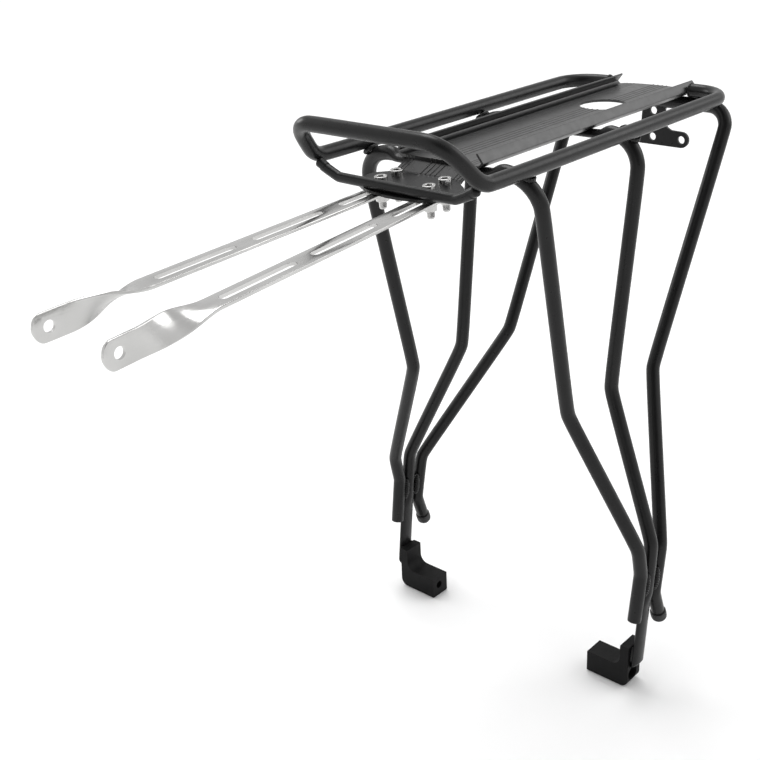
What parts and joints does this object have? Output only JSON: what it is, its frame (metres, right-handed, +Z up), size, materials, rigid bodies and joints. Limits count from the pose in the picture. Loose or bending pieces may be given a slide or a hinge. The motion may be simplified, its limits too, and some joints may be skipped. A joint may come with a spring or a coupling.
{
  "type": "bicycle rear rack",
  "caption": "Bent-tube bicycle rear rack with a ribbed flat deck, raised front hoop, offset feet, lamp bracket and slotted sliding stays.",
  "frame": {"origin": "midway between the two dropout bolt holes, on their common axis", "axes": "+Z up, -Y forward toward the seat tube, X across the bicycle"},
  "size_m": [0.2408, 0.5509, 0.4337],
  "materials": {
    "black_frame": "satin black powder coat",
    "stainless": "polished stainless steel",
    "bright_zinc": "bright plated steel",
    "black_plastic": "matt black"
  },
  "bodies": {
    "frame": {"rim_tube": "black_frame", "front_bar": "black_frame", "leg_tube_front": "black_frame", "leg_tube_middle": "black_frame", "leg_tube_rear": "black_frame", "hook_cap_left": "black_plastic", "hook_cap_right": "black_plastic", "foot_left": "black_frame", "foot_right": "black_frame", "deck": "black_frame", "lamp_bracket": "black_frame", "bolt_left_front": "bright_zinc", "spacer_left_front": "black_plastic", "washer_left_front": "bright_zinc", "nut_left_front": "bright_zinc", "bolt_left_rear": "bright_zinc", "spacer_left_rear": "black_plastic", "washer_left_rear": "bright_zinc", "nut_left_rear": "bright_zinc", "bolt_right_front": "bright_zinc", "spacer_right_front": "black_plastic", "washer_right_front": "bright_zinc", "nut_right_front": "bright_zinc", "bolt_right_rear": "bright_zinc", "spacer_right_rear": "black_plastic", "washer_right_rear": "bright_zinc", "nut_right_rear": "bright_zinc"},
    "stay_left": {"stay_left": "stainless"},
    "stay_right": {"stay_right": "stainless"}
  },
  "joints": [
    {"name": "stay_left_slide", "type": "slide", "parent": "frame", "child": "stay_left", "axis": [-0.0384, -0.9979, -0.0523], "range_m": [-0.033, 0.0025]},
    {"name": "stay_right_slide", "type": "slide", "parent": "frame", "child": "stay_right", "axis": [0.0384, -0.9979, -0.0523], "range_m": [-0.033, 0.0025]}
  ]
}
